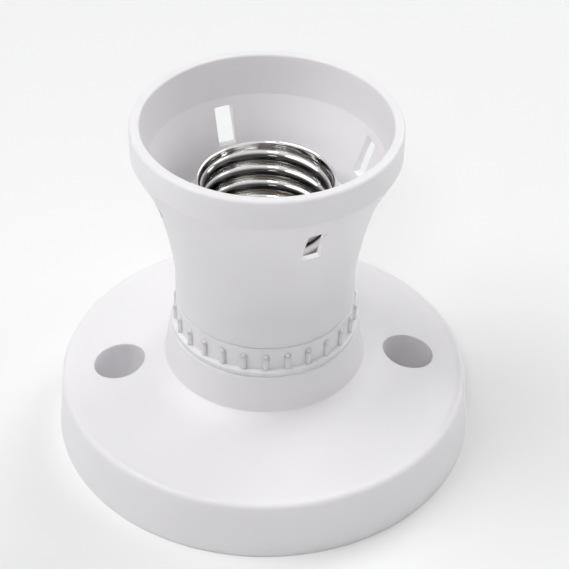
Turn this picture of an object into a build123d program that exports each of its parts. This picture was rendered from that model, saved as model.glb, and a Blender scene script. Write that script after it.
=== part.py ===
"""A screw-in lamp holder on a round surface-mount base.

Millimetres, +Z up. The origin is the middle of the base's underside, so the
holder stands on the XY plane. The two fixing wells lie on the X axis.
"""
import os
from math import cos, radians, sin

from build123d import *

os.makedirs("parts", exist_ok=True)

# Fits shared by several pieces
seam_gap = 0.1          # shadow line left between two mouldings that meet
slip_gap = 0.3          # free gap of a part that drops into another
hole_gap = 0.1          # radial gap of a screw or rivet in its hole
boss_gap = 0.4          # between the screw bosses and the contact carrier

# Round base
base_radius = 43.5
base_draft = 1.1        # how much the side leans in at its top
base_edge_height = 12.8
base_edge_round = 1.1
base_wall = 2.5
top_rise = 2.9          # from the outer edge up the cone to the foot of the sweep
sweep_radius = 27.0     # where the cone of the top turns up into the sweep
sweep_rise = 2.2        # from there up to the collar's foot
collar_margin = 0.2     # the collar's top beyond the cap's flange
collar_draft = 1.3      # how much the collar leans in at its top
collar_rise = 7.95
deck_thickness = 2.5
deck_opening_radius = 11.5
rib_thickness = 1.6
rib_count = 4
rib_foot_gap = 2.0      # the ribs stop this far above the mounting surface
rib_collar_lap = 0.3    # how far a rib runs past the collar's wall

# Fixing wells
fixing_spacing = 60.8
well_radius = 5.35
well_wall = 1.8
well_floor = 3.0
fixing_hole_radius = 2.3

# Holder cap: the ribbed ring, its neck and its screw bosses
cap_flange_step = 1.0   # from the band out to the flange's edge
cap_flange_height = 1.3
cap_flange_chamfer = 0.4
cap_band_step = 1.6     # from the neck out to the band
cap_band_height = 6.45
neck_height = 6.7
neck_wall = 1.6
grip_rib_count = 26
grip_rib_width = 1.5    # at its root, inside the band
grip_rib_root = 0.3
grip_rib_proud = 0.5
grip_rib_flank = 65.0   # degrees
grip_rib_height = 3.6
grip_rib_turn = -3.0    # degrees from the -Y axis to the first rib
boss_radius = 2.6
boss_height = 4.1
boss_inset = 1.1        # from the neck's inner wall in to the middle of a boss

# Shroud
waist_wall = 1.15
waist_rise = 6.2        # straight part above the seam
flare_rise = 26.9       # from the waist up to the crease
flare_stations = ((0.17, 0.06), (0.4, 0.21), (0.63, 0.42), (0.865, 0.74))  # shares up, out
crease_wall = 2.15      # from the bowl's top out to the crease
crease_slope = 0.53     # how far the flare runs out for each millimetre up, at the crease
crease_rise = 2.2       # from the crease up to the straight band
band_height = 6.1
band_step = 1.05        # how far the band stands out from the crease
rim_width = 2.0
bowl_radius = 23.2      # where the mouth's inner wall turns into the bowl
bowl_drop = 0.2         # how far that lies below the crease
flare_wall = 1.25
ledge_drop = 13.6       # how far the inner ledge lies below the crease
ledge_width = 0.8
shoulder_gap = 0.45     # round the carrier's rim
shoulder_width = 1.1
shoulder_thickness = 1.5
neck_gap = 0.4          # the neck's thread stands in this gap

# Windows through the shroud
window_count = 4
window_width = 3.7
window_height = 7.8
window_drop = 1.8       # from the crease down to a window's top
window_turn = 19.6      # degrees from the -Y axis to the first window

# Contact carrier
carrier_floor = 3.0
carrier_flange_height = 1.8
carrier_wall = 1.7
carrier_wall_height = 7.2   # above the flange
pit_radius = 8.4
pit_depth = 4.0

# Screw shell, a sheet cup for the common 27 mm lamp cap
shell_bore_radius = 13.2    # the thread's major radius; its turns are too fine to be solid
sheet = 0.35
shell_depth = 22.9
shell_opening_radius = 8.2
shell_foot_bend = 1.2       # the drawn corner at the shell's foot
shell_bead_width = 0.3
shell_bead_height = 0.8

# Centre contact, a bent spring tongue
tongue_sheet = 0.4
tongue_width = 5.0
tongue_gap = 0.35       # above the pit floor and under the rivet head
tongue_rivet_x = -5.2
tongue_foot_back = 2.2
tongue_foot_front = 1.6
tongue_crest_x = 1.0
tongue_crest_length = 1.8
tongue_rise = 3.0
tongue_nose_length = 1.6
tongue_nose_fall = 0.7

# Rivets
rivet_radius = 1.0
rivet_head_radius = 1.4
rivet_head_height = 0.6
shell_rivet_circle = 10.6
shell_rivet_angle = 60.0    # degrees from the +X axis

# Terminals
plate_thickness = 0.8
plate_width = 6.4
plate_margin = 2.4      # from a hole's centre to the plate's end
line_screw_y = 6.4
neutral_screw_y = 1.4
washer_thickness = 0.8
washer_width = 5.6
terminal_screw_radius = 1.5
terminal_head_radius = 2.6
terminal_head_height = 1.8
terminal_screw_reach = 1.6  # how far the screw goes into the carrier
slot_width = 0.7
slot_depth = 0.8

# Screws that hold the cap on the deck
cap_screw_radius = 1.3
cap_screw_head_radius = 2.4
cap_screw_head_height = 1.7
cap_screw_reach = 3.2

# Heights and radii that follow
shell_outer_radius = shell_bore_radius + sheet
carrier_bore_radius = shell_outer_radius + slip_gap
carrier_rim_radius = carrier_bore_radius + carrier_wall
shoulder_radius = carrier_rim_radius + shoulder_gap
neck_bore_radius = shoulder_radius + shoulder_width
neck_radius = neck_bore_radius - neck_gap
chamber_radius = neck_radius - neck_wall
waist_radius = neck_bore_radius + waist_wall
cap_band_radius = neck_radius + cap_band_step
cap_flange_radius = cap_band_radius + cap_flange_step
collar_top_radius = cap_flange_radius + collar_margin
collar_foot_radius = collar_top_radius + collar_draft
boss_circle = chamber_radius - boss_inset

sweep_height = base_edge_height + top_rise
collar_foot_height = sweep_height + sweep_rise
collar_height = collar_foot_height + collar_rise
deck_bottom = collar_height - deck_thickness
cap_bottom = collar_height
cap_flange_top = cap_bottom + cap_flange_height
cap_band_top = cap_bottom + cap_band_height
neck_top = cap_band_top + neck_height
shroud_bottom = cap_band_top + seam_gap
waist_height = shroud_bottom + waist_rise
crease_height = waist_height + flare_rise
crease_radius = bowl_radius + crease_wall
band_bottom = crease_height + crease_rise
mouth_radius = crease_radius + band_step
shroud_height = band_bottom + band_height
carrier_flange_top = neck_top + carrier_flange_height
shoulder_height = carrier_flange_top + seam_gap
well_x = fixing_spacing / 2

carrier_flange_radius = neck_radius - seam_gap
carrier_body_radius = chamber_radius - slip_gap
carrier_top = carrier_flange_top + carrier_wall_height

boss_top = cap_bottom + boss_height
carrier_bottom = boss_top + boss_gap
pit_floor = carrier_bottom + carrier_floor
shell_bottom = pit_floor + pit_depth
shell_rim = shell_bottom + shell_depth

plate_bottom = carrier_bottom - plate_thickness
washer_bottom = plate_bottom - washer_thickness
shell_rivet_x = shell_rivet_circle * cos(radians(shell_rivet_angle))
shell_rivet_y = shell_rivet_circle * sin(radians(shell_rivet_angle))
shell_rivet_spots = ((shell_rivet_x, shell_rivet_y), (-shell_rivet_x, -shell_rivet_y))
line_screw_spot = (tongue_rivet_x, line_screw_y)
neutral_screw_spot = (shell_rivet_x, neutral_screw_y)


def front_angle(turn):
    """The polar angle of a feature that is turned from the -Y axis."""
    return turn - 90.0


# Base: side, coned and swept top, collar
base_side_top = base_edge_height - base_edge_round
base_side_radius = base_radius - base_draft
base_flat_radius = base_side_radius - base_edge_round
collar_inner_radius = collar_top_radius - base_wall
top_slope = (sweep_radius - base_flat_radius, top_rise)

with BuildPart() as base_hollow:
    # The space under the top, less the well tubes and the ribs
    with BuildSketch(Plane.XZ):
        with BuildLine():
            Polyline(
                (0, 0),
                (base_side_radius - base_wall, 0),
                (base_side_radius - base_wall, base_edge_height - base_wall),
                (collar_inner_radius, collar_foot_height - base_wall),
                (collar_inner_radius, deck_bottom),
                (0, deck_bottom),
                close=True,
            )
        make_face()
    revolve(axis=Axis.Z)
    with Locations((well_x, 0, 0), (-well_x, 0, 0)):
        Cylinder(
            well_radius + well_wall,
            collar_height,
            align=(Align.CENTER, Align.CENTER, Align.MIN),
            mode=Mode.SUBTRACT,
        )
    with BuildSketch(Plane.XY.offset(rib_foot_gap)):
        rib_inner = collar_inner_radius - rib_collar_lap
        rib_length = base_radius - rib_inner
        rib_start = 180.0 / rib_count
        with PolarLocations(rib_inner + rib_length / 2, rib_count, start_angle=rib_start):
            Rectangle(rib_length, rib_thickness)
    extrude(amount=collar_height, mode=Mode.SUBTRACT)

with BuildPart() as base:
    with BuildSketch(Plane.XZ):
        with BuildLine():
            Polyline(
                (0, collar_height),
                (0, 0),
                (base_radius, 0),
                (base_side_radius, base_side_top),
                (base_flat_radius, base_edge_height),
                (sweep_radius, sweep_height),
            )
            TangentArc(
                (sweep_radius, sweep_height),
                (collar_foot_radius, collar_foot_height),
                tangent=top_slope,
            )
            Polyline(
                (collar_foot_radius, collar_foot_height),
                (collar_top_radius, collar_height),
                (0, collar_height),
            )
        make_face()
    revolve(axis=Axis.Z)
    add(base_hollow.part, mode=Mode.SUBTRACT)
    # Opening in the deck for the wires
    with BuildSketch(Plane.XY.offset(deck_bottom)):
        Circle(deck_opening_radius)
    extrude(amount=deck_thickness, mode=Mode.SUBTRACT)
    # Fixing wells and their holes
    with BuildSketch(Plane.XY.offset(well_floor)):
        with GridLocations(fixing_spacing, 0, 2, 1):
            Circle(well_radius)
    extrude(amount=collar_height, mode=Mode.SUBTRACT)
    with BuildSketch(Plane.XY):
        with GridLocations(fixing_spacing, 0, 2, 1):
            Circle(fixing_hole_radius)
    extrude(amount=well_floor, mode=Mode.SUBTRACT)
    # Clearance holes for the cap's screws
    with BuildSketch(Plane.XY.offset(deck_bottom)):
        with GridLocations(2 * boss_circle, 0, 2, 1):
            Circle(cap_screw_radius + hole_gap)
    extrude(amount=deck_thickness, mode=Mode.SUBTRACT)
base.part.label = "base"
export_step(base.part, "parts/base.step")

# Holder cap: flange, ribbed band, threaded neck
with BuildPart() as cap:
    with BuildSketch(Plane.XZ):
        with BuildLine():
            Polyline(
                (chamber_radius, cap_bottom),
                (cap_flange_radius, cap_bottom),
                (cap_flange_radius, cap_flange_top - cap_flange_chamfer),
                (cap_flange_radius - cap_flange_chamfer, cap_flange_top),
                (cap_band_radius, cap_flange_top),
                (cap_band_radius, cap_band_top),
                (neck_radius, cap_band_top),
                (neck_radius, neck_top),
                (chamber_radius, neck_top),
                close=True,
            )
        make_face()
    revolve(axis=Axis.Z)
    # Grip ribs
    rib_middle = cap_band_radius + (grip_rib_proud - grip_rib_root) / 2
    first_rib = front_angle(grip_rib_turn)
    with BuildSketch(Plane.XY.offset(cap_flange_top)):
        with PolarLocations(rib_middle, grip_rib_count, start_angle=first_rib):
            Trapezoid(
                grip_rib_width,
                grip_rib_proud + grip_rib_root,
                grip_rib_flank,
                rotation=-90,
            )
    extrude(amount=grip_rib_height)
    # Bosses for the two screws from below
    with BuildSketch(Plane.XY.offset(cap_bottom)):
        boss_reach = chamber_radius + neck_wall / 2
        with GridLocations(2 * boss_circle, 0, 2, 1):
            Circle(boss_radius)
        Circle(boss_reach, mode=Mode.INTERSECT)
    extrude(amount=boss_height)
    with BuildSketch(Plane.XY.offset(cap_bottom)):
        with GridLocations(2 * boss_circle, 0, 2, 1):
            Circle(cap_screw_radius)
    extrude(amount=cap_screw_reach + hole_gap, mode=Mode.SUBTRACT)
cap.part.label = "holder_cap"
export_step(cap.part, "parts/holder_cap.step")

# Shroud: waist, flare, band and rim outside; bowl, ledge and shoulder inside
flare_width = crease_radius - waist_radius
flare_points = [
    (waist_radius + flare_width * out, waist_height + flare_rise * up)
    for up, out in flare_stations
]
bowl_height = crease_height - bowl_drop
ledge_height = crease_height - ledge_drop
ledge_radius = flare_points[1][0] - flare_wall
bore_radius = ledge_radius - ledge_width
shoulder_top = shoulder_height + shoulder_thickness

with BuildPart() as shroud:
    with BuildSketch(Plane.XZ):
        with BuildLine():
            Polyline(
                (shoulder_radius, shoulder_top),
                (shoulder_radius, shoulder_height),
                (neck_bore_radius, shoulder_height),
                (neck_bore_radius, shroud_bottom),
                (waist_radius, shroud_bottom),
                (waist_radius, waist_height),
            )
            Spline(
                (waist_radius, waist_height),
                *flare_points,
                (crease_radius, crease_height),
                tangents=((0, 1), (crease_slope, 1)),
            )
            Polyline(
                (crease_radius, crease_height),
                (mouth_radius, band_bottom),
                (mouth_radius, shroud_height),
                (mouth_radius - rim_width, shroud_height),
                (bowl_radius, bowl_height),
                (ledge_radius, ledge_height),
                (bore_radius, ledge_height),
                (bore_radius, shoulder_top),
                (shoulder_radius, shoulder_top),
            )
        make_face()
    revolve(axis=Axis.Z)
    # Windows, cut straight outwards
    window_top = crease_height - window_drop
    first_window = front_angle(window_turn)
    with BuildSketch(Plane.XY.offset(window_top - window_height)):
        with PolarLocations(waist_radius, window_count, start_angle=first_window):
            Rectangle(waist_radius, window_width)
    extrude(amount=window_height, mode=Mode.SUBTRACT)
shroud.part.label = "shroud"
export_step(shroud.part, "parts/shroud.step")

# Contact carrier: insulating cup that holds all live pieces
with BuildPart() as carrier:
    with BuildSketch(Plane.XZ):
        with BuildLine():
            Polyline(
                (0, carrier_bottom),
                (carrier_body_radius, carrier_bottom),
                (carrier_body_radius, neck_top),
                (carrier_flange_radius, neck_top),
                (carrier_flange_radius, carrier_flange_top),
                (carrier_rim_radius, carrier_flange_top),
                (carrier_rim_radius, carrier_top),
                (carrier_bore_radius, carrier_top),
                (carrier_bore_radius, shell_bottom),
                (pit_radius, shell_bottom),
                (pit_radius, pit_floor),
                (0, pit_floor),
                close=True,
            )
        make_face()
    revolve(axis=Axis.Z)
    with BuildSketch(Plane.XY.offset(carrier_bottom)):
        with Locations((tongue_rivet_x, 0), *shell_rivet_spots):
            Circle(rivet_radius + hole_gap)
    extrude(amount=carrier_floor + pit_depth, mode=Mode.SUBTRACT)
    with BuildSketch(Plane.XY.offset(carrier_bottom)):
        with Locations(line_screw_spot, neutral_screw_spot):
            Circle(terminal_screw_radius + hole_gap)
    extrude(amount=terminal_screw_reach + hole_gap, mode=Mode.SUBTRACT)
carrier.part.label = "contact_carrier"
export_step(carrier.part, "parts/contact_carrier.step")


# Screw shell: drawn sheet with a turned-in foot and a curled top edge
with BuildPart() as shell:
    with BuildSketch(Plane.XZ):
        bead_radius = shell_outer_radius + shell_bead_width
        bead_bottom = shell_rim - shell_bead_height
        with BuildLine():
            Polyline(
                (shell_opening_radius, shell_bottom),
                (shell_outer_radius - shell_foot_bend, shell_bottom),
                (shell_outer_radius, shell_bottom + shell_foot_bend),
                (shell_outer_radius, bead_bottom),
                (bead_radius, bead_bottom),
                (bead_radius, shell_rim),
                (shell_bore_radius, shell_rim),
                (shell_bore_radius, shell_bottom + sheet + shell_foot_bend),
                (shell_bore_radius - shell_foot_bend, shell_bottom + sheet),
                (shell_opening_radius, shell_bottom + sheet),
                close=True,
            )
        make_face()
    revolve(axis=Axis.Z)
    with BuildSketch(Plane.XY.offset(shell_bottom)):
        with Locations(*shell_rivet_spots):
            Circle(rivet_radius + hole_gap)
    extrude(amount=sheet, mode=Mode.SUBTRACT)
shell.part.label = "screw_shell"
export_step(shell.part, "parts/screw_shell.step")

# Centre contact: one bent strip
tongue_bottom = pit_floor + tongue_gap
tongue_middle = tongue_bottom + tongue_sheet / 2
with BuildPart() as tongue:
    with BuildSketch(Plane.XZ):
        with BuildLine() as bends:
            crest = tongue_middle + tongue_rise
            Polyline(
                (tongue_rivet_x - tongue_foot_back, tongue_middle),
                (tongue_rivet_x + tongue_foot_front, tongue_middle),
                (tongue_crest_x, crest),
                (tongue_crest_x + tongue_crest_length, crest),
                (tongue_crest_x + tongue_crest_length + tongue_nose_length, crest - tongue_nose_fall),
            )
        trace(line_width=tongue_sheet)
    extrude(amount=tongue_width / 2, both=True)
    with Locations((tongue_rivet_x, 0, tongue_middle)):
        Cylinder(rivet_radius + slip_gap, 4 * tongue_sheet, mode=Mode.SUBTRACT)
tongue.part.label = "centre_contact"
export_step(tongue.part, "parts/centre_contact.step")


def rivet(spot, low, high):
    """A rivet whose heads close on the heights low and high."""
    with BuildPart() as body:
        with BuildSketch(Plane.XY.offset(low - rivet_head_height)):
            with Locations(spot):
                Circle(rivet_head_radius)
        extrude(amount=rivet_head_height)
        with BuildSketch(Plane.XY.offset(low)):
            with Locations(spot):
                Circle(rivet_radius)
        extrude(amount=high - low)
        with BuildSketch(Plane.XY.offset(high)):
            with Locations(spot):
                Circle(rivet_head_radius)
        extrude(amount=rivet_head_height)
    return body.part


tongue_rivet = rivet((tongue_rivet_x, 0), plate_bottom, tongue_bottom + tongue_sheet + tongue_gap)
tongue_rivet.label = "contact_rivet"
export_step(tongue_rivet, "parts/contact_rivet.step")

shell_rivets = Compound(
    label="shell_rivets",
    children=[
        rivet(shell_rivet_spots[0], plate_bottom, shell_bottom + sheet),
        rivet(shell_rivet_spots[1], carrier_bottom, shell_bottom + sheet),
    ],
)
export_step(shell_rivets, "parts/shell_rivets.step")


def terminal(name, x, rivet_y, screw_y):
    """A brass plate under the carrier, from its rivet to its screw."""
    low = min(rivet_y, screw_y) - plate_margin
    high = max(rivet_y, screw_y) + plate_margin
    with BuildPart() as plate:
        with BuildSketch(Plane.XY.offset(plate_bottom)):
            with Locations((x, (low + high) / 2)):
                Rectangle(plate_width, high - low)
            with Locations((x, rivet_y)):
                Circle(rivet_radius + hole_gap, mode=Mode.SUBTRACT)
            with Locations((x, screw_y)):
                Circle(terminal_screw_radius + hole_gap, mode=Mode.SUBTRACT)
        extrude(amount=plate_thickness)
    plate.part.label = name
    export_step(plate.part, f"parts/{name}.step")


terminal("line_terminal", tongue_rivet_x, 0.0, line_screw_y)
terminal("neutral_terminal", shell_rivet_x, shell_rivet_y, neutral_screw_y)

# Square washers under the terminal screws
with BuildPart() as washers:
    with BuildSketch(Plane.XY.offset(washer_bottom)):
        with Locations(line_screw_spot, neutral_screw_spot):
            Rectangle(washer_width, washer_width)
            Circle(terminal_screw_radius + hole_gap, mode=Mode.SUBTRACT)
    extrude(amount=washer_thickness)
washers.part.label = "terminal_washers"
export_step(washers.part, "parts/terminal_washers.step")


def slotted_screw(spot, seat, head_radius, head_height, shank_radius, shank_length):
    """A slotted screw with its head below the height seat, pointing up."""
    with BuildPart() as screw:
        with BuildSketch(Plane.XY.offset(seat - head_height)):
            with Locations(spot):
                Circle(head_radius)
        extrude(amount=head_height)
        with BuildSketch(Plane.XY.offset(seat)):
            with Locations(spot):
                Circle(shank_radius)
        extrude(amount=shank_length)
        with BuildSketch(Plane.XY.offset(seat - head_height)):
            with Locations(spot):
                Rectangle(2 * head_radius, slot_width)
        extrude(amount=slot_depth, mode=Mode.SUBTRACT)
    return screw.part


terminal_shank = washer_thickness + plate_thickness + terminal_screw_reach
terminal_screws = Compound(
    label="terminal_screws",
    children=[
        slotted_screw(
            spot, washer_bottom, terminal_head_radius, terminal_head_height,
            terminal_screw_radius, terminal_shank,
        )
        for spot in (line_screw_spot, neutral_screw_spot)
    ],
)
export_step(terminal_screws, "parts/terminal_screws.step")

cap_screws = Compound(
    label="cap_screws",
    children=[
        slotted_screw(
            (x, 0), deck_bottom, cap_screw_head_radius, cap_screw_head_height,
            cap_screw_radius, deck_thickness + cap_screw_reach,
        )
        for x in (boss_circle, -boss_circle)
    ],
)
export_step(cap_screws, "parts/cap_screws.step")
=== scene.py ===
"""Dresses the lamp holder: moulded white plastic, a nickel screw shell and a studio."""

from math import cos, pi, radians, sin, sqrt, tan

import bmesh
import bpy
import numpy as np
from mathutils import Matrix, Vector


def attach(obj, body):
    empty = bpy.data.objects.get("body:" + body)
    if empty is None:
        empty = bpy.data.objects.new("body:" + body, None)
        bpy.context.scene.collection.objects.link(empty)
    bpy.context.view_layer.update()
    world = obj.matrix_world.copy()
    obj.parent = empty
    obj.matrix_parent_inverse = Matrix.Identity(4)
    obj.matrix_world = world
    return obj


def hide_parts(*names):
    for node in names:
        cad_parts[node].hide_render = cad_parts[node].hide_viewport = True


bl_info = {
    "name": "Lamp holder",
    "version": (1, 0, 0),
    "blender": (4, 5, 0),
    "location": "View3D > Sidebar > Lamp holder",
    "description": "Builds the visible pieces of a surface-mounted screw lamp holder",
    "category": "Add Mesh",
}

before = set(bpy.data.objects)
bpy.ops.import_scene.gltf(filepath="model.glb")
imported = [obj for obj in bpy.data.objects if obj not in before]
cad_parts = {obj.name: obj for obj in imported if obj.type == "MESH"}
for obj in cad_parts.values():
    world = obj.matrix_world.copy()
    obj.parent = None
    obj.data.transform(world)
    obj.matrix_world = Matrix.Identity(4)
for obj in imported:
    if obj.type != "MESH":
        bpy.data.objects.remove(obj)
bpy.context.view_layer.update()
MM = 0.001
WHITE = (1, 1, 1, 1)

# Sizes in millimetres, as in the solids; pairs are (radius, height) if no comment
# says otherwise

# Base; the cuts through its deck reach from UNDER_DECK to ABOVE_BASE
BASE_FOOT_RADIUS = 43.5
BASE_SIDE_RADIUS = 42.4
BASE_EDGE_HEIGHT = 12.8
BASE_ROOF = 2.5
BASE_SWEEP = ((24.0, 16.35), (30.4, 14.9), (41.3, BASE_EDGE_HEIGHT))
UNDERSIDE_RADIUS = 39.9
UNDER_RIB_MIDDLE = 30.1
UNDER_RIB_LENGTH = 26.8
UNDER_RIB_WIDTH = 1.6
UNDER_RIB_BOTTOM = 2
COLLAR_FOOT = (20.8, 17.9)
COLLAR_TOP = (19.5, 25.85)
COLLAR_INSIDE = (17.0, 15.4)
DECK_BOTTOM = 23.35
DECK_OPENING = 11.5
WELL_X = 30.4
WELL_FLOOR = 3.0
WELL_WALL = 1.8
FIXING_HOLE = 2.3
CAP_SCREW_X = 14.0
CAP_SCREW_HOLE = 1.4
UNDER_DECK = 20
ABOVE_BASE = 30

# Ring; the boss's hole is (radius, depth)
FLANGE_RADIUS = 19.3
FLANGE_TOP = 27.15
RING_RADIUS = 18.3
SEAM = 32.3
NECK_RADIUS = 16.7
NECK_TOP = 39.0
CHAMBER_RADIUS = 15.1
BOSS_RADIUS = 2.6
BOSS_HEIGHT = 4.1
BOSS_LIMIT = CHAMBER_RADIUS + 0.8
BOSS_HOLE = (1.3, 3.3)
RING_POINTS = 260
RIB_SIDES = 24
RIB_DOME_RINGS = 12

# Thread of the neck and of the shroud's bore, each from one height to another;
# its ridge has RIDGE_STEPS in a turn, a flat tip that is a share of its root's
# width, and a run-out that is a share of a turn
NECK_THREAD = (SEAM + 1.6, NECK_TOP - 1.0)
BORE_THREAD = (SEAM + 2.8, NECK_TOP + 0.8)
RIDGE_STEPS = 96
RIDGE_TIP = 0.35
RIDGE_ROOT_DEPTH = 0.25
RIDGE_RUN_OUT = 1 / 3

# Shroud; the flare's stations are shares of its rise and of its width
NECK_BORE = 17.1
SHOULDER = (16.0, 40.9)
SHOULDER_THICKNESS = 1.5
WAIST = (18.25, 38.6)
CREASE = (25.35, 65.5)
FLARE_STATIONS = ((0.17, 0.06), (0.4, 0.21), (0.63, 0.42), (0.865, 0.74))
BAND_RADIUS = 26.4
BAND_BOTTOM = 67.7
TOP = 73.8
MOUTH_RADIUS = 24.4
BOWL = (23.2, 65.3)
BOWL_STATIONS = ((21.35, 59.9), (19.75, 55.4))
LEDGE = (18.5, CREASE[1] - 13.6)
WINDOW_TOP = CREASE[1] - 1.8

# Screw shell; the foot's points are (radius, height over the foot), the curl's
# are (out from the thread's major radius, up from the rim), and the thread
# starts at a share of a turn
SHELL_FOOT = 37.35
SHELL_RIM = 60.25
SHEET = 0.35
THREAD_FOOT = SHELL_FOOT + 0.9
THREAD_TOP = SHELL_RIM - 1.1
THREAD_START = 0.08
FOOT_INSIDE = ((8.2, SHEET), (11.6, SHEET), (12.1, 0.42), (12.45, 0.62))
FOOT_OUTSIDE = ((12.7, 0.4), (12.3, 0.12), (11.8, 0.0), (8.2, 0.0))
CURL = (
    (0.02, -0.5),
    (0.1, -0.2),
    (0.24, -0.05),
    (0.36, 0.0),
    (0.5, -0.05),
    (0.6, -0.2),
    (0.63, -0.4),
    (0.58, -0.62),
    (0.42, -0.78),
)

# Centre contact; its points are (x, height over the clamped end)
STRIP_BOTTOM = 33.9
STRIP_PATH = ((-7.3, 0.0), (-3.6, 0.0), (0.4, 2.55), (1.9, 3.0), (4.3, 2.3))
STRIP_ENDS = (-7.4, 4.4)
STRIP_HALF_WIDTH = 2.5
STRIP_END_LENGTH = 1.2
STRIP_THICKNESS = 0.4

# Studio, in metres and watts; a lamp is its name, place, size and power
BACKGROUND = 0.88
SKY = 0.1
CAMERA_PLACE = (-0.01986, -0.28765, 0.26387)
CAMERA_LENS = 114.26
CAMERA_DOWN = 38.546
FLOOR_SIDE = 2.5
FLOOR_FRONT = -1.6
FLOOR_BACK = 1.2
BACKDROP_CURVE = 0.4
BACKDROP_TOP = 2.2
LAMP_AIM = (0, 0, 0.03)
LAMPS = (
    ("Upper left", (-0.45, 0.0, 0.8), 0.7, 5.1),
    ("Right", (0.85, -0.1, 0.45), 0.5, 1.4),
    ("Right back", (0.5, 0.5, 0.6), 0.5, 2.7),
    ("Front", (-0.12, -0.6, 0.68), 0.2, 1.3),
)


class LampHolderMouldings(bpy.types.PropertyGroup):
    """Sizes of the white plastic pieces."""

    well_radius: bpy.props.FloatProperty(
        name="Well radius",
        description="Radius of the two fixing wells",
        default=5.35 * MM,
        unit="LENGTH",
    )
    collar_edge: bpy.props.FloatProperty(
        name="Edge rounding",
        description="Rounding of the mouldings' outer edges",
        default=0.5 * MM,
        unit="LENGTH",
    )
    rib_count: bpy.props.IntProperty(
        name="Grip ribs",
        description="Number of grip ribs round the ring",
        default=26,
        min=3,
    )
    rib_radius: bpy.props.FloatProperty(
        name="Rib radius",
        description="Radius of each grip rib",
        default=0.62 * MM,
        unit="LENGTH",
    )
    rib_height: bpy.props.FloatProperty(
        name="Rib height",
        description="Height of each grip rib above the ring's ledge",
        default=3.7 * MM,
        unit="LENGTH",
    )
    rib_turn: bpy.props.FloatProperty(
        name="Rib turn",
        description="Angle from the front to the first rib",
        default=radians(-3.0),
        subtype="ANGLE",
    )
    window_count: bpy.props.IntProperty(
        name="Windows",
        description="Number of windows through the shroud",
        default=4,
        min=1,
    )
    window_width: bpy.props.FloatProperty(
        name="Window width",
        description="Width of each window",
        default=3.7 * MM,
        unit="LENGTH",
    )
    window_height: bpy.props.FloatProperty(
        name="Window height",
        description="Height of each window",
        default=7.8 * MM,
        unit="LENGTH",
    )
    window_turn: bpy.props.FloatProperty(
        name="Window turn",
        description="Angle from the front to the first window",
        default=radians(19.6),
        subtype="ANGLE",
    )


class LampHolderThreads(bpy.types.PropertyGroup):
    """Sizes of the two threads."""

    pitch: bpy.props.FloatProperty(
        name="Lamp thread pitch",
        description="Rise of the lamp thread in one turn",
        default=3.629 * MM,
        unit="LENGTH",
    )
    minor_radius: bpy.props.FloatProperty(
        name="Lamp thread minor radius",
        description="Smallest inside radius of the screw shell",
        default=12.15 * MM,
        unit="LENGTH",
    )
    major_radius: bpy.props.FloatProperty(
        name="Lamp thread major radius",
        description="Largest inside radius of the screw shell",
        default=13.2 * MM,
        unit="LENGTH",
    )
    neck_pitch: bpy.props.FloatProperty(
        name="Neck thread pitch",
        description="Rise of the thread between the ring's neck and the shroud",
        default=2.4 * MM,
        unit="LENGTH",
    )


class LampHolderColours(bpy.types.PropertyGroup):
    """Colours of the finishes."""

    moulding: bpy.props.FloatVectorProperty(
        name="Moulding",
        description="White plastic of the base, ring and shroud",
        subtype="COLOR",
        default=(0.9, 0.882, 0.906),
        min=0.0,
        max=1.0,
    )
    insulator: bpy.props.FloatVectorProperty(
        name="Insulator",
        description="Dull moulding that carries the contacts",
        subtype="COLOR",
        default=(0.72, 0.69, 0.65),
        min=0.0,
        max=1.0,
    )
    nickel: bpy.props.FloatVectorProperty(
        name="Nickel",
        description="Bright plating of the screw shell",
        subtype="COLOR",
        default=(0.8, 0.79, 0.78),
        min=0.0,
        max=1.0,
    )
    bronze: bpy.props.FloatVectorProperty(
        name="Spring bronze",
        description="Centre contact",
        subtype="COLOR",
        default=(0.72, 0.47, 0.24),
        min=0.0,
        max=1.0,
    )
    brass: bpy.props.FloatVectorProperty(
        name="Brass",
        description="Terminals and rivets",
        subtype="COLOR",
        default=(0.78, 0.6, 0.3),
        min=0.0,
        max=1.0,
    )
    zinc: bpy.props.FloatVectorProperty(
        name="Zinc",
        description="Plating of the screws and washers",
        subtype="COLOR",
        default=(0.66, 0.67, 0.69),
        min=0.0,
        max=1.0,
    )
    floor: bpy.props.FloatVectorProperty(
        name="Floor",
        description="Studio floor and backdrop",
        subtype="COLOR",
        default=(0.94, 0.943, 0.943),
        min=0.0,
        max=1.0,
    )


# Shapes, in millimetres
def rounded(corners, steps=6, lead=0.08):
    """Turns (radius, height, rounding) corners into a closed line with arcs.

    A point stands a little before and after each arc, so that smooth shading
    bends in the arc alone.
    """
    line = []
    count = len(corners)
    for i, (r, z, rounding) in enumerate(corners):
        here = Vector((r, z))
        if rounding <= 0:
            line.append((r, z))
            continue
        back = (Vector(corners[i - 1][:2]) - here).normalized()
        on = (Vector(corners[(i + 1) % count][:2]) - here).normalized()
        half = back.angle(on) / 2
        reach = rounding / tan(half)
        middle = here + (back + on).normalized() * (rounding / sin(half))
        start = here + back * reach
        end = here + on * reach
        line.append(tuple(start + back * lead))
        spoke = start - middle
        turn = spoke.angle_signed(end - middle)
        for k in range(steps + 1):
            spin = Matrix.Rotation(-turn * k / steps, 2)
            line.append(tuple(middle + spin @ spoke))
        line.append(tuple(end + on * lead))
    return line


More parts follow.
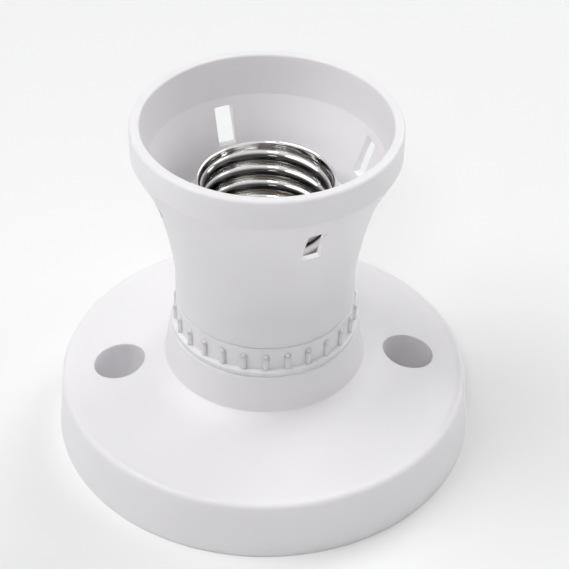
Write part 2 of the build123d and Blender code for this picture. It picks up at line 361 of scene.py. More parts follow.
def smooth_line(points, start_slope, end_slope, count):
    """A cubic line through the points, with the given directions at its ends."""
    pts = np.array(points, float)
    span = np.sqrt((np.diff(pts, axis=0) ** 2).sum(1))
    n = len(pts)
    left = np.zeros((n, n))
    right = np.zeros((n, 2))
    left[0, 0] = left[-1, -1] = 1.0
    right[0] = Vector(start_slope).normalized()
    right[-1] = Vector(end_slope).normalized()
    for i in range(1, n - 1):
        a, b = span[i - 1], span[i]
        left[i, i - 1 : i + 2] = (b, 2 * (a + b), a)
        right[i] = 3 * (b * (pts[i] - pts[i - 1]) / a + a * (pts[i + 1] - pts[i]) / b)
    slopes = np.linalg.solve(left, right)
    line = []
    for i in range(n - 1):
        steps = max(2, round(count * span[i] / span.sum()))
        for k in range(steps):
            t = k / steps
            line.append(
                tuple(
                    (2 * t**3 - 3 * t**2 + 1) * pts[i]
                    + (t**3 - 2 * t**2 + t) * span[i] * slopes[i]
                    + (3 * t**2 - 2 * t**3) * pts[i + 1]
                    + (t**3 - t**2) * span[i] * slopes[i + 1]
                )
            )
    line.append(tuple(pts[-1]))
    return line


def mesh_object(name, bm):
    """Puts a finished bmesh into the scene, with its faces turned outwards."""
    bmesh.ops.recalc_face_normals(bm, faces=bm.faces)
    mesh = bpy.data.meshes.new(name)
    bm.to_mesh(mesh)
    bm.free()
    obj = bpy.data.objects.new(name, mesh)
    bpy.context.scene.collection.objects.link(obj)
    return obj


def lathe(name, line, segments=256):
    """A solid of revolution from a closed line of (radius, height)."""
    bm = bmesh.new()
    rings = []
    for r, z in line:
        if r < 1e-6:
            rings.append([bm.verts.new((0, 0, z))] * segments)
            continue
        rings.append(
            [
                bm.verts.new((r * cos(a), r * sin(a), z))
                for a in (2 * pi * k / segments for k in range(segments))
            ]
        )
    for ring, following in zip(rings, rings[1:] + rings[:1]):
        for k in range(segments):
            m = (k + 1) % segments
            corners = [ring[k], ring[m], following[m], following[k]]
            face = list(dict.fromkeys(corners))
            if len(face) > 2:
                bm.faces.new(face)
    return mesh_object(name, bm)


def rod(name, radius, low, high, at=(0, 0), segments=96):
    """An upright cylinder."""
    bm = bmesh.new()
    bmesh.ops.create_cone(
        bm,
        cap_ends=True,
        segments=segments,
        radius1=radius,
        radius2=radius,
        depth=high - low,
        matrix=Matrix.Translation((at[0], at[1], (low + high) / 2)),
    )
    return mesh_object(name, bm)


def block(name, size, place):
    """A block of the given size, carried by the matrix place."""
    bm = bmesh.new()
    bmesh.ops.create_cube(bm, size=1.0, matrix=place @ Matrix.Diagonal((*size, 1.0)))
    return mesh_object(name, bm)


def settle(obj):
    """Turns an object's modifiers into plain mesh."""
    depsgraph = bpy.context.evaluated_depsgraph_get()
    mesh = bpy.data.meshes.new_from_object(obj.evaluated_get(depsgraph))
    obj.modifiers.clear()
    old = obj.data
    obj.data = mesh
    mesh.name = obj.name
    bpy.data.meshes.remove(old)


def combine(obj, tool, operation="DIFFERENCE"):
    """Cuts, adds or keeps what a second solid says, and removes that solid."""
    cut = obj.modifiers.new("Cut", "BOOLEAN")
    cut.operation = operation
    cut.solver = "MANIFOLD"
    cut.object = tool
    settle(obj)
    mesh = tool.data
    bpy.data.objects.remove(tool)
    bpy.data.meshes.remove(mesh)


def ease(obj, angle=32):
    """Smooth shading that stays crisp on real edges."""
    obj.data.shade_smooth()
    obj.data.set_sharp_from_angle(angle=radians(angle))


def finish_piece(obj, body, slot, material, *nodes):
    """Makes a piece metres, and gives it its finish, body and the nodes it stands for."""
    obj.data.transform(Matrix.Scale(MM, 4))
    obj.data.materials.clear()
    obj.data.materials.append(material)
    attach(obj, body)
    if nodes:
        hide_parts(*nodes)


# Finishes
def new_material(name):
    """A material with its tree, its shader and the object's coordinates."""
    material = bpy.data.materials.new(name)
    material.use_nodes = True
    tree = material.node_tree
    shader = tree.nodes["Principled BSDF"]
    coordinates = tree.nodes.new("ShaderNodeTexCoord")
    return material, tree, shader, coordinates.outputs["Object"]


def noise(tree, coordinates, scale, detail=3.0, stretch=(1, 1, 1)):
    """A noise pattern on the object's own coordinates."""
    mapping = tree.nodes.new("ShaderNodeMapping")
    mapping.inputs["Scale"].default_value = stretch
    tree.links.new(coordinates, mapping.inputs["Vector"])
    texture = tree.nodes.new("ShaderNodeTexNoise")
    texture.inputs["Scale"].default_value = scale
    texture.inputs["Detail"].default_value = detail
    tree.links.new(mapping.outputs["Vector"], texture.inputs["Vector"])
    return texture.outputs["Fac"]


def calculate(tree, operation, first, second):
    """One step of arithmetic on sockets or numbers."""
    node = tree.nodes.new("ShaderNodeMath")
    node.operation = operation
    for socket, value in zip(node.inputs, (first, second)):
        if isinstance(value, (int, float)):
            socket.default_value = value
        else:
            tree.links.new(value, socket)
    return node.outputs["Value"]


def ramp(tree, value, given, wanted):
    """A smooth change of a value from one pair of ends to another."""
    node = tree.nodes.new("ShaderNodeMapRange")
    node.interpolation_type = "SMOOTHSTEP"
    node.inputs["From Min"].default_value = given[0]
    node.inputs["From Max"].default_value = given[1]
    node.inputs["To Min"].default_value = wanted[0]
    node.inputs["To Max"].default_value = wanted[1]
    tree.links.new(value, node.inputs["Value"])
    return node.outputs["Result"]


def spread(tree, value, low, high):
    """Spreads a pattern between two numbers."""
    return ramp(tree, value, (0.2, 0.8), (low, high))


def seen_rays(tree):
    """1 for what is seen directly, in a reflection or through a pane, and else 0."""
    rays = tree.nodes.new("ShaderNodeLightPath").outputs
    seen = calculate(tree, "MAXIMUM", rays["Is Camera Ray"], rays["Is Glossy Ray"])
    return calculate(tree, "MAXIMUM", seen, rays["Is Transmission Ray"])


def tint(tree, value, first, second):
    """Mixes two colours by a pattern; either may be a socket."""
    node = tree.nodes.new("ShaderNodeMix")
    node.data_type = "RGBA"
    for name, colour in (("A", first), ("B", second)):
        if isinstance(colour, tuple):
            node.inputs[name].default_value = (*colour, 1)
        else:
            tree.links.new(colour, node.inputs[name])
    tree.links.new(value, node.inputs["Factor"])
    return node.outputs["Result"]


def mixed(tree, share, first, second):
    """Two shaders mixed by a share."""
    node = tree.nodes.new("ShaderNodeMixShader")
    tree.links.new(share, node.inputs["Fac"])
    tree.links.new(first, node.inputs[1])
    tree.links.new(second, node.inputs[2])
    return node.outputs["Shader"]


def relief(tree, value, shader, depth, strength, edge=0.0):
    """A shallow relief, on edges that are eased a little where edge is given."""
    bump = tree.nodes.new("ShaderNodeBump")
    bump.inputs["Strength"].default_value = strength
    bump.inputs["Distance"].default_value = depth
    tree.links.new(value, bump.inputs["Height"])
    if edge > 0:
        soft = tree.nodes.new("ShaderNodeBevel")
        soft.samples = 6
        soft.inputs["Radius"].default_value = edge
        tree.links.new(soft.outputs["Normal"], bump.inputs["Normal"])
    tree.links.new(bump.outputs["Normal"], shader.inputs["Normal"])


def shade(colour, factor):
    """The colour, made lighter or darker."""
    return tuple(min(1.0, c * factor) for c in colour)


def moulded(name, colour, gloss, edge):
    """Moulded plastic: faint flow marks, fine grain and uneven gloss."""
    material, tree, shader, at = new_material(name)
    flow_marks = spread(tree, noise(tree, at, 45.0, 2.0), 0, 1)
    tree.links.new(
        tint(tree, flow_marks, shade(colour, 0.985), shade(colour, 1.012)),
        shader.inputs["Base Color"],
    )
    tree.links.new(spread(tree, noise(tree, at, 160.0, 2.0), *gloss), shader.inputs["Roughness"])
    relief(tree, noise(tree, at, 900.0, 2.0), shader, 0.01 * MM, 0.06, edge)
    shader.inputs["IOR"].default_value = 1.49
    shader.inputs["Subsurface Weight"].default_value = 0.4
    shader.inputs["Subsurface Radius"].default_value = (0.0032, 0.003, 0.0031)
    shader.inputs["Subsurface Scale"].default_value = 1.0
    return material


def metal(name, colour, gloss, stretch, streak_strength=0.15):
    """Drawn or plated metal: fine streaks along the way it was worked."""
    material, tree, shader, at = new_material(name)
    streaks = noise(tree, at, 260.0, 5.0, stretch)
    tree.links.new(
        tint(tree, spread(tree, streaks, 0, 1), shade(colour, 0.93), shade(colour, 1.03)),
        shader.inputs["Base Color"],
    )
    patches = noise(tree, at, 420.0, 4.0, stretch)
    tree.links.new(spread(tree, patches, *gloss), shader.inputs["Roughness"])
    relief(tree, streaks, shader, 0.02 * MM, streak_strength)
    shader.inputs["Metallic"].default_value = 1.0
    return material


def rolled_nickel(name, colour, pitch):
    """Bright nickel plate, with painted shade: near-black bands along the crests of the rolled
    thread stand in for its dark reflections.
    """
    material = metal(name, colour, (0.05, 0.09), (1, 1, 6), 0.02)
    tree = material.node_tree
    base = tree.nodes["Principled BSDF"].inputs["Base Color"]
    place = tree.nodes.new("ShaderNodeTexCoord")
    parts = tree.nodes.new("ShaderNodeSeparateXYZ")
    tree.links.new(place.outputs["Object"], parts.inputs["Vector"])
    x, y, z = parts.outputs
    angle = calculate(tree, "ARCTAN2", y, x)
    turns = calculate(tree, "SUBTRACT", calculate(tree, "DIVIDE", angle, 2 * pi), THREAD_START)
    rise = calculate(tree, "SUBTRACT", calculate(tree, "DIVIDE", z, pitch), turns)
    phase = calculate(tree, "FRACT", rise, 0)
    off_crest = calculate(tree, "ABSOLUTE", calculate(tree, "SUBTRACT", phase, 0.56), 0)
    painted_shade_band = ramp(tree, off_crest, (0.14, 0.26), (1, 0))
    # The painted shade bands fade out towards the plain rim and the flat foot
    for ends, shares in (
        ((SHELL_RIM - 2.2, SHELL_RIM - 1.4), (1, 0)),
        ((SHELL_FOOT + 0.9, SHELL_FOOT + 1.8), (0, 1)),
    ):
        fade = ramp(tree, z, [end * MM for end in ends], shares)
        painted_shade_band = calculate(tree, "MULTIPLY", painted_shade_band, fade)
    bright = base.links[0].from_socket
    # Painted shade: the bands take the nickel nearly to black, in place of the thread's dark
    # reflections
    tree.links.new(tint(tree, painted_shade_band, bright, shade(colour, 0.08)), base)
    return material


def finishes():
    """Each finish by the record's slot, made once."""
    colours = bpy.context.scene.lamp_holder_colours
    pitch = bpy.context.scene.lamp_holder_threads.pitch
    made = {}
    for slot, make in (
        ("white_moulding", lambda n: moulded(n, colours.moulding, (0.36, 0.46), 0.25 * MM)),
        ("insulator", lambda n: moulded(n, colours.insulator, (0.5, 0.62), 0.2 * MM)),
        ("nickel_sheet", lambda n: rolled_nickel(n, colours.nickel, pitch)),
        ("spring_bronze", lambda n: metal(n, colours.bronze, (0.2, 0.32), (6, 1, 1))),
        ("brass", lambda n: metal(n, colours.brass, (0.22, 0.36), (1, 5, 1))),
        ("zinc_steel", lambda n: metal(n, colours.zinc, (0.28, 0.42), (1, 1, 1))),
    ):
        # The frame's own plain materials already have the slots' names
        name = slot + "_finish"
        made[slot] = bpy.data.materials.get(name) or make(name)
    return made


# Pieces
class BuildBase(bpy.types.Operator):
    """The round base with its swept top, collar and fixing wells"""

    bl_idname = "lamp_holder.base"
    bl_label = "Base"

    def execute(self, context):
        sizes = context.scene.lamp_holder_mouldings
        edge = sizes.collar_edge / MM
        sweep = smooth_line([COLLAR_FOOT, *BASE_SWEEP], (1.0, -0.62), (1.0, -0.19), 40)
        side = rounded(
            [
                (0, DECK_BOTTOM, 0),
                (0, 0, 0),
                (BASE_FOOT_RADIUS, 0, 0.3),
                (BASE_SIDE_RADIUS, BASE_EDGE_HEIGHT, 1.1),
                (*BASE_SWEEP[1], 0),
            ],
            steps=8,
        )[1:-1]
        edge_end = side[-1][0]
        sweep = [p for p in sweep[::-1] if COLLAR_FOOT[0] + 0.45 < p[0] < edge_end - 0.2]
        collar = rounded(
            [
                (*sweep[-1], 0),
                (*COLLAR_FOOT, 0.35),
                (*COLLAR_TOP, edge),
                (0, COLLAR_TOP[1], 0),
            ]
        )
        body = lathe("base_moulding", side + sweep + collar[1:])

        hollow = lathe(
            "hollow",
            [
                (0, -1),
                (UNDERSIDE_RADIUS, -1),
                (UNDERSIDE_RADIUS, BASE_EDGE_HEIGHT - BASE_ROOF),
                COLLAR_INSIDE,
                (COLLAR_INSIDE[0], DECK_BOTTOM),
                (0, DECK_BOTTOM),
            ],
            128,
        )
        well = sizes.well_radius / MM
        for x in (WELL_X, -WELL_X):
            combine(hollow, rod("tube", well + WELL_WALL, -2, ABOVE_BASE, (x, 0)))
        for k in range(4):
            turn = Matrix.Rotation(radians(45 + 90 * k), 4, "Z")
            middle = (UNDER_RIB_MIDDLE, 0, UNDER_RIB_BOTTOM + ABOVE_BASE / 2)
            size = (UNDER_RIB_LENGTH, UNDER_RIB_WIDTH, ABOVE_BASE)
            combine(hollow, block("rib", size, turn @ Matrix.Translation(middle)))
        combine(body, hollow)
        combine(body, rod("opening", DECK_OPENING, UNDER_DECK, ABOVE_BASE))
        for x in (WELL_X, -WELL_X):
            combine(body, rod("well", well, WELL_FLOOR, ABOVE_BASE, (x, 0)))
            combine(body, rod("hole", FIXING_HOLE, -1, WELL_FLOOR + 7, (x, 0), 48))
        for x in (CAP_SCREW_X, -CAP_SCREW_X):
            combine(body, rod("hole", CAP_SCREW_HOLE, UNDER_DECK, ABOVE_BASE, (x, 0), 32))
        ease(body)
        finish_piece(body, "holder", "white_moulding", finishes()["white_moulding"], "base")
        return {"FINISHED"}


def rib_tree(sizes):
    """Geometry Nodes: upright ribs with domed tops, evenly round a ring."""
    tree = bpy.data.node_groups.new("Grip ribs", "GeometryNodeTree")
    face = tree.interface
    face.new_socket("Geometry", in_out="INPUT", socket_type="NodeSocketGeometry")
    values = {}
    for name, kind, value in (
        ("Count", "NodeSocketInt", sizes.rib_count),
        ("Ring radius", "NodeSocketFloat", RING_RADIUS),
        ("Rib radius", "NodeSocketFloat", sizes.rib_radius / MM),
        ("Rib height", "NodeSocketFloat", sizes.rib_height / MM),
        ("Ledge height", "NodeSocketFloat", FLANGE_TOP),
        ("Turn", "NodeSocketFloat", sizes.rib_turn - pi / 2),
    ):
        socket = face.new_socket(name, in_out="INPUT", socket_type=kind)
        values[socket.identifier] = value
    socket = face.new_socket("Material", in_out="INPUT", socket_type="NodeSocketMaterial")
    values[socket.identifier] = finishes()["white_moulding"]
    face.new_socket("Geometry", in_out="OUTPUT", socket_type="NodeSocketGeometry")

    def node(kind, **settings):
        made = tree.nodes.new(kind)
        for key, value in settings.items():
            setattr(made, key, value)
        return made

    link = tree.links.new
    given = node("NodeGroupInput")
    out = node("NodeGroupOutput")
    ring = node("GeometryNodeCurvePrimitiveCircle")
    points = node("GeometryNodeCurveToPoints", mode="COUNT")
    turned = node("GeometryNodeTransform")
    spin = node("ShaderNodeCombineXYZ")
    lift = node("ShaderNodeCombineXYZ")
    link(given.outputs["Ring radius"], ring.inputs["Radius"])
    ring.inputs["Resolution"].default_value = RING_POINTS
    link(ring.outputs["Curve"], points.inputs["Curve"])
    link(given.outputs["Count"], points.inputs["Count"])
    link(given.outputs["Turn"], spin.inputs["Z"])
    link(given.outputs["Ledge height"], lift.inputs["Z"])
    link(points.outputs["Points"], turned.inputs["Geometry"])
    link(spin.outputs["Vector"], turned.inputs["Rotation"])
    link(lift.outputs["Vector"], turned.inputs["Translation"])

    shank = node("ShaderNodeMath", operation="SUBTRACT")
    link(given.outputs["Rib height"], shank.inputs[0])
    link(given.outputs["Rib radius"], shank.inputs[1])
    bar = node("GeometryNodeMeshCylinder")
    bar.inputs["Vertices"].default_value = RIB_SIDES
    link(given.outputs["Rib radius"], bar.inputs["Radius"])
    link(shank.outputs["Value"], bar.inputs["Depth"])
    half = node("ShaderNodeMath", operation="MULTIPLY")
    half.inputs[1].default_value = 0.5
    link(shank.outputs["Value"], half.inputs[0])
    up = node("ShaderNodeCombineXYZ")
    link(half.outputs["Value"], up.inputs["Z"])
    raised = node("GeometryNodeTransform")
    link(bar.outputs["Mesh"], raised.inputs["Geometry"])
    link(up.outputs["Vector"], raised.inputs["Translation"])
    dome = node("GeometryNodeMeshUVSphere")
    dome.inputs["Segments"].default_value = RIB_SIDES
    dome.inputs["Rings"].default_value = RIB_DOME_RINGS
    link(given.outputs["Rib radius"], dome.inputs["Radius"])
    top = node("ShaderNodeCombineXYZ")
    link(shank.outputs["Value"], top.inputs["Z"])
    domed = node("GeometryNodeTransform")
    link(dome.outputs["Mesh"], domed.inputs["Geometry"])
    link(top.outputs["Vector"], domed.inputs["Translation"])
    rib = node("GeometryNodeJoinGeometry")
    link(raised.outputs["Geometry"], rib.inputs["Geometry"])
    link(domed.outputs["Geometry"], rib.inputs["Geometry"])

    copies = node("GeometryNodeInstanceOnPoints")
    link(turned.outputs["Geometry"], copies.inputs["Points"])
    link(rib.outputs["Geometry"], copies.inputs["Instance"])
    real = node("GeometryNodeRealizeInstances")
    link(copies.outputs["Instances"], real.inputs["Geometry"])
    joined = node("GeometryNodeJoinGeometry")
    link(given.outputs["Geometry"], joined.inputs["Geometry"])
    link(real.outputs["Geometry"], joined.inputs["Geometry"])
    whole = node("GeometryNodeRealizeInstances")
    link(joined.outputs["Geometry"], whole.inputs["Geometry"])
    dressed = node("GeometryNodeSetMaterial")
    link(whole.outputs["Geometry"], dressed.inputs["Geometry"])
    link(given.outputs["Material"], dressed.inputs["Material"])
    link(dressed.outputs["Geometry"], out.inputs["Geometry"])
    return tree, values


def add_helix(bm, radius, low, high, pitch, height, root, inward=False):
    """Adds a thread's ridge, which runs out at both ends; root is half its width."""
    turns = (high - low) / pitch
    steps = round(turns * RIDGE_STEPS)
    side = -1 if inward else 1
    last = None
    for k in range(steps + 1):
        share = k / steps
        fade = min(1.0, share * turns / RIDGE_RUN_OUT, (1 - share) * turns / RIDGE_RUN_OUT)
        a = 2 * pi * turns * share
        z = low + (high - low) * share
        tip = radius + side * max(height * fade, 0.01)
        foot = radius - side * RIDGE_ROOT_DEPTH
        flat = root * RIDGE_TIP
        ring = []
        for r, up in ((foot, -root), (tip, -flat), (tip, flat), (foot, root)):
            ring.append(bm.verts.new((r * cos(a), r * sin(a), z + up)))
        if last:
            for i in range(4):
                j = (i + 1) % 4
                bm.faces.new((last[i], last[j], ring[j], ring[i]))
        else:
            bm.faces.new(ring[::-1])
        last = ring
    bm.faces.new(last)


class BuildRing(bpy.types.Operator):
    """The ribbed ring on the collar, with the threaded neck that holds the shroud"""

    bl_idname = "lamp_holder.ring"
    bl_label = "Ribbed ring"

    def execute(self, context):
        sizes = context.scene.lamp_holder_mouldings
        threads = context.scene.lamp_holder_threads
        low = COLLAR_TOP[1]
        line = rounded(
            [
                (CHAMBER_RADIUS, low, 0),
                (FLANGE_RADIUS, low, 0.12),
                (FLANGE_RADIUS, FLANGE_TOP, 0.35),
                (RING_RADIUS, FLANGE_TOP, 0.15),
                (RING_RADIUS, SEAM, 0.3),
                (NECK_RADIUS, SEAM, 0.1),
                (NECK_RADIUS, NECK_TOP, 0.3),
                (CHAMBER_RADIUS, NECK_TOP, 0.15),
            ]
        )
        body = lathe("ring_moulding", line)
        for x in (CAP_SCREW_X, -CAP_SCREW_X):
            boss = rod("boss", BOSS_RADIUS, low, low + BOSS_HEIGHT, (x, 0), 48)
            combine(boss, rod("limit", BOSS_LIMIT, low - 1, low + 6), "INTERSECT")
            combine(body, boss, "UNION")
            radius, depth = BOSS_HOLE
            combine(body, rod("hole", radius, low - 1, low + depth, (x, 0), 32))
        tree, values = rib_tree(sizes)
        ribs = body.modifiers.new("Grip ribs", "NODES")
        ribs.node_group = tree
        for identifier, value in values.items():
            ribs[identifier] = value
        settle(body)
        bm = bmesh.new()
        bm.from_mesh(body.data)
        pitch = threads.neck_pitch / MM
        add_helix(bm, NECK_RADIUS, *NECK_THREAD, pitch, 0.32, 0.55)
        bmesh.ops.remove_doubles(bm, verts=bm.verts, dist=1e-7)
        bmesh.ops.recalc_face_normals(bm, faces=bm.faces)
        bm.to_mesh(body.data)
        bm.free()
        ease(body)
        finish_piece(body, "holder", "white_moulding", finishes()["white_moulding"], "holder_cap")
        return {"FINISHED"}


class BuildShroud(bpy.types.Operator):
    """The flared shroud with its windows, step, band and rim"""

    bl_idname = "lamp_holder.shroud"
    bl_label = "Shroud"

    def execute(self, context):
        sizes = context.scene.lamp_holder_mouldings
        threads = context.scene.lamp_holder_threads
        width = CREASE[0] - WAIST[0]
        rise = CREASE[1] - WAIST[1]
        stations = [(WAIST[0] + width * out, WAIST[1] + rise * up) for up, out in FLARE_STATIONS]
        flare = smooth_line([WAIST, *stations, CREASE], (0, 1), (0.53, 1), 44)
        bowl = smooth_line([BOWL, *BOWL_STATIONS, LEDGE], (-0.36, -1), (-0.33, -1), 20)
        bottom = SEAM + 0.1
        shoulder_top = SHOULDER[1] + SHOULDER_THICKNESS
        outline = rounded(
            [
                (NECK_BORE, SHOULDER[1], 0),
                (NECK_BORE, bottom, 0.15),
                (WAIST[0], bottom, 0.25),
                (*WAIST, 0),
            ]
        )[1:-1]
        outline += flare[:-2]
        top = rounded(
            [
                (*flare[-3], 0),
                (*CREASE, 0),
                (BAND_RADIUS, BAND_BOTTOM, 0.8),
                (BAND_RADIUS, TOP, 0.6),
                (MOUTH_RADIUS, TOP, 0.45),
                (*BOWL, 1.2),
                (*bowl[2], 0),
            ]
        )
        outline += top[1:-1]
        outline += bowl[2:-1]
        outline += rounded(
            [
                (*bowl[-2], 0),
                (*LEDGE, 0.1),
                (LEDGE[0] - 0.8, LEDGE[1], 0.2),
                (LEDGE[0] - 1.2, shoulder_top, 0.2),
                (SHOULDER[0], shoulder_top, 0),
                (*SHOULDER, 0),
                (NECK_BORE, SHOULDER[1], 0),
            ]
        )[1:]
        body = lathe("shroud_moulding", outline)
        tall = sizes.window_height / MM
        wide = sizes.window_width / MM
        through = Matrix.Translation((WAIST[0], 0, WINDOW_TOP - tall / 2))
        for k in range(sizes.window_count):
            turn = sizes.window_turn - pi / 2 + 2 * pi * k / sizes.window_count
            place = Matrix.Rotation(turn, 4, "Z") @ through
            combine(body, block("window", (WAIST[0], wide, tall), place))
        bm = bmesh.new()
        bm.from_mesh(body.data)
        pitch = threads.neck_pitch / MM
        add_helix(bm, NECK_BORE, *BORE_THREAD, pitch, 0.3, 0.5, True)
        bm.to_mesh(body.data)
        bm.free()
        ease(body)
        finish_piece(body, "shroud", "white_moulding", finishes()["white_moulding"], "shroud")
        return {"FINISHED"}


def thread_wave(t, depth, pitch):
    """How far a round thread of two equal arcs stands out; t counts turns."""
    quarter = pitch / 4
    half = depth / 2
    radius = (quarter**2 + half**2) / (2 * half)
    u = (t % 1.0) * pitch
    if u > pitch / 2:
        u = pitch - u
    if u <= quarter:
        return half - radius + sqrt(radius**2 - u**2)
    return -(half - radius + sqrt(radius**2 - (pitch / 2 - u) ** 2))


class BuildShell(bpy.types.Operator):
    """The nickel-plated screw shell with its rolled thread and curled rim"""

    bl_idname = "lamp_holder.shell"
    bl_label = "Screw shell"

    def execute(self, context):
        threads = context.scene.lamp_holder_threads
        pitch = threads.pitch / MM
        low = threads.minor_radius / MM
        high = threads.major_radius / MM
        middle = (low + high) / 2
        half_way = (THREAD_FOOT + THREAD_TOP) / 2
        segments = 168
        rows = 118
        columns = []
        for s in range(segments):
            a = 2 * pi * s / segments
            inner = []
            for k in range(rows + 1):
                z = THREAD_FOOT + (THREAD_TOP - THREAD_FOOT) * k / rows
                fade = min(1.0, (z - THREAD_FOOT) / 1.4, (THREAD_TOP - z) / 1.2)
                wave = thread_wave(z / pitch - a / (2 * pi) + THREAD_START, high - low, pitch)
                # Below, the thread runs out to its middle radius, and above to its largest
                plain = high if z > half_way else middle
                inner.append((middle + wave * fade + (1 - fade) * (plain - middle), z))
            line = [(r, SHELL_FOOT + up) for r, up in FOOT_INSIDE]
            line += inner
            line += [(high + out, SHELL_RIM + up) for out, up in CURL]
            line += [(r + SHEET, z) for r, z in inner[::-1]]
            line += [(r, SHELL_FOOT + up) for r, up in FOOT_OUTSIDE]
            columns.append([(r * cos(a), r * sin(a), z) for r, z in line])
        bm = bmesh.new()
        grid = [[bm.verts.new(p) for p in column] for column in columns]
        count = len(grid[0])
        for s in range(segments):
            here, there = grid[s], grid[(s + 1) % segments]
            for k in range(count):
                m = (k + 1) % count
                bm.faces.new((here[k], there[k], there[m], here[m]))
        body = mesh_object("threaded_shell", bm)
        ease(body, 50)
        finish_piece(body, "holder", "nickel_sheet", finishes()["nickel_sheet"], "screw_shell")
        return {"FINISHED"}


class BuildContact(bpy.types.Operator):
    """The bent spring strip at the bottom of the shell"""

    bl_idname = "lamp_holder.contact"
    bl_label = "Centre contact"

    def execute(self, context):
        stations = [(x, STRIP_BOTTOM + up) for x, up in STRIP_PATH]
        path = smooth_line(stations, (1, 0), (1, -0.45), 44)
        left, right = STRIP_ENDS
        bm = bmesh.new()
        rows = []
        for x, z in path:
            share = min((x - left) / STRIP_END_LENGTH, (right - x) / STRIP_END_LENGTH, 1.0)
            half = STRIP_HALF_WIDTH * sqrt(max(0.05, 1 - (1 - share) ** 2))
            rows.append([bm.verts.new((x, half * k / 4, z)) for k in range(-4, 5)])
        for row, following in zip(rows, rows[1:]):
            for k in range(8):
                bm.faces.new((row[k], row[k + 1], following[k + 1], following[k]))
        body = mesh_object("contact_strip", bm)
        sheet = body.modifiers.new("Sheet", "SOLIDIFY")
        sheet.thickness = STRIP_THICKNESS
        sheet.offset = 0
        soft = body.modifiers.new("Edges", "BEVEL")
        soft.width = 0.08
        soft.segments = 2
        soft.limit_method = "ANGLE"
        settle(body)
        ease(body)
        bronze = finishes()["spring_bronze"]
        finish_piece(body, "contact", "spring_bronze", bronze, "centre_contact")
        return {"FINISHED"}


class DressSmallParts(bpy.types.Operator):
    """Finishes for the solids that keep their own shape"""

    bl_idname = "lamp_holder.small_parts"
    bl_label = "Small parts"

    def execute(self, context):
        made = finishes()
        for node, slot in (
            ("contact_carrier", "insulator"),
            ("contact_rivet", "brass"),
            ("shell_rivets", "brass"),
            ("line_terminal", "brass"),
            ("neutral_terminal", "brass"),
            ("terminal_washers", "zinc_steel"),
            ("terminal_screws", "zinc_steel"),
            ("cap_screws", "zinc_steel"),
            ("base", "white_moulding"),
            ("holder_cap", "white_moulding"),
            ("shroud", "white_moulding"),
            ("screw_shell", "nickel_sheet"),
            ("centre_contact", "spring_bronze"),
        ):
            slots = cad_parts[node].material_slots
            if not slots:
                raise RuntimeError(f"{node} has no material slot")
            for place in slots:
                place.material = made[slot]
        return {"FINISHED"}


# Studio
def soft_light(name, place, size, power):
    """A round area light that looks at the holder."""
    light = bpy.data.lights.new(name, "AREA")
    light.shape = "DISK"
    light.size = size
    light.energy = power
    obj = bpy.data.objects.new(name, light)
    obj.location = place
    ahead = Vector(LAMP_AIM) - Vector(place)
    obj.rotation_euler = ahead.to_track_quat("-Z", "Y").to_euler()
    bpy.context.scene.collection.objects.link(obj)


def place_camera(scene):
    """The camera at the photograph's view."""
    camera = bpy.data.cameras.new("Camera")
    camera.sensor_width = 36.0
    camera.lens = CAMERA_LENS
    camera.clip_start = 0.01
    camera.clip_end = 20.0
    eye = bpy.data.objects.new("Camera", camera)
    turn = (
        Matrix.Rotation(radians(-3.95), 4, "Z")
        @ Matrix.Rotation(radians(90 - CAMERA_DOWN), 4, "X")
        @ Matrix.Rotation(radians(-0.613), 4, "Y")
        @ Matrix.Rotation(radians(0.686), 4, "Z")
    )
    eye.matrix_world = Matrix.Translation(CAMERA_PLACE) @ turn
    scene.collection.objects.link(eye)
    scene.camera = eye


def floor_material(colour):
    """Pale and dull, and far from the holder the colour of the background."""
    material, tree, shader, at = new_material("studio_floor")
    cloudy = spread(tree, noise(tree, at, 6.0, 2.0), 0, 1)
    tree.links.new(tint(tree, cloudy, shade(colour, 0.995), colour), shader.inputs["Base Color"])
    shader.inputs["Roughness"].default_value = 0.75
    distance = tree.nodes.new("ShaderNodeVectorMath")
    distance.operation = "LENGTH"
    tree.links.new(at, distance.inputs[0])
    far = ramp(tree, distance.outputs["Value"], (0.35, 1.1), (0, 1))
    seen = calculate(tree, "MULTIPLY", far, seen_rays(tree))
    pale = tree.nodes.new("ShaderNodeEmission")
    pale.inputs["Strength"].default_value = BACKGROUND
    surface = mixed(tree, seen, shader.outputs["BSDF"], pale.outputs["Emission"])
    tree.links.new(surface, tree.nodes["Material Output"].inputs["Surface"])
    return material


def light_world(scene):
    """A dim sky that lights the holder, behind a pale one that is only seen."""
    world = bpy.data.worlds.new("Studio")
    scene.world = world
    world.use_nodes = True
    tree = world.node_tree
    skies = tree.nodes["Background"], tree.nodes.new("ShaderNodeBackground")
    for sky, strength in zip(skies, (SKY, BACKGROUND)):
        sky.inputs["Color"].default_value = WHITE
        sky.inputs["Strength"].default_value = strength
    surface = mixed(tree, seen_rays(tree), *(sky.outputs["Background"] for sky in skies))
    tree.links.new(surface, tree.nodes["World Output"].inputs["Surface"])


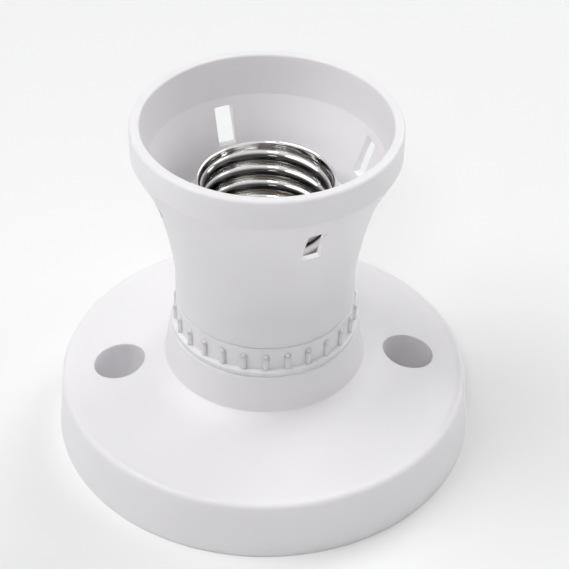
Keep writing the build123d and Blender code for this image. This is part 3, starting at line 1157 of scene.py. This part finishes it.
class BuildStudio(bpy.types.Operator):
    """The camera, the floor with its backdrop, and soft lights"""

    bl_idname = "lamp_holder.studio"
    bl_label = "Studio"

    def execute(self, context):
        scene = context.scene
        place_camera(scene)
        bend = np.linspace(0.1, pi / 2, 12)
        line = [(FLOOR_FRONT, 0.0), (FLOOR_BACK, 0.0)]
        line += [
            (FLOOR_BACK + BACKDROP_CURVE * sin(a), BACKDROP_CURVE - BACKDROP_CURVE * cos(a))
            for a in bend
        ]
        line.append((FLOOR_BACK + BACKDROP_CURVE, BACKDROP_TOP))
        bm = bmesh.new()
        rows = [[bm.verts.new((x, y, z)) for x in (-FLOOR_SIDE, FLOOR_SIDE)] for y, z in line]
        for a, b in zip(rows, rows[1:]):
            bm.faces.new((a[0], a[1], b[1], b[0]))
        floor = mesh_object("floor", bm)
        floor.data.shade_smooth()
        floor.data.materials.append(floor_material(tuple(scene.lamp_holder_colours.floor)))
        light_world(scene)
        for lamp in LAMPS:
            soft_light(*lamp)
        scene.view_settings.view_transform = "Standard"
        return {"FINISHED"}


class LampHolderPanel(bpy.types.Panel):
    """Lists the pieces, sizes and colours of the lamp holder"""

    bl_label = "Lamp holder"
    bl_idname = "VIEW3D_PT_lamp_holder"
    bl_space_type = "VIEW_3D"
    bl_region_type = "UI"
    bl_category = "Lamp holder"

    def draw(self, context):
        for group in GROUPS:
            box = self.layout.box()
            values = getattr(context.scene, group)
            for name in values.bl_rna.properties.keys():
                if name not in ("name", "rna_type"):
                    box.prop(values, name)
        for operator in OPERATORS:
            self.layout.operator(operator.bl_idname)


GROUPS = {
    "lamp_holder_mouldings": LampHolderMouldings,
    "lamp_holder_threads": LampHolderThreads,
    "lamp_holder_colours": LampHolderColours,
}
OPERATORS = (
    BuildStudio,
    DressSmallParts,
    BuildBase,
    BuildRing,
    BuildShroud,
    BuildShell,
    BuildContact,
)


def register():
    """Registers the classes and hangs the settings on the scene."""
    for group in GROUPS.values():
        bpy.utils.register_class(group)
    for name, group in GROUPS.items():
        setattr(bpy.types.Scene, name, bpy.props.PointerProperty(type=group))
    for operator in OPERATORS:
        bpy.utils.register_class(operator)
    bpy.utils.register_class(LampHolderPanel)


def unregister():
    """Takes everything out again."""
    bpy.utils.unregister_class(LampHolderPanel)
    for operator in reversed(OPERATORS):
        bpy.utils.unregister_class(operator)
    for name, group in GROUPS.items():
        delattr(bpy.types.Scene, name)
        bpy.utils.unregister_class(group)


def main():
    """Builds everything."""
    register()
    for operator in OPERATORS:
        group, name = operator.bl_idname.split(".")
        getattr(getattr(bpy.ops, group), name)()


if __name__ == "__main__":
    main()
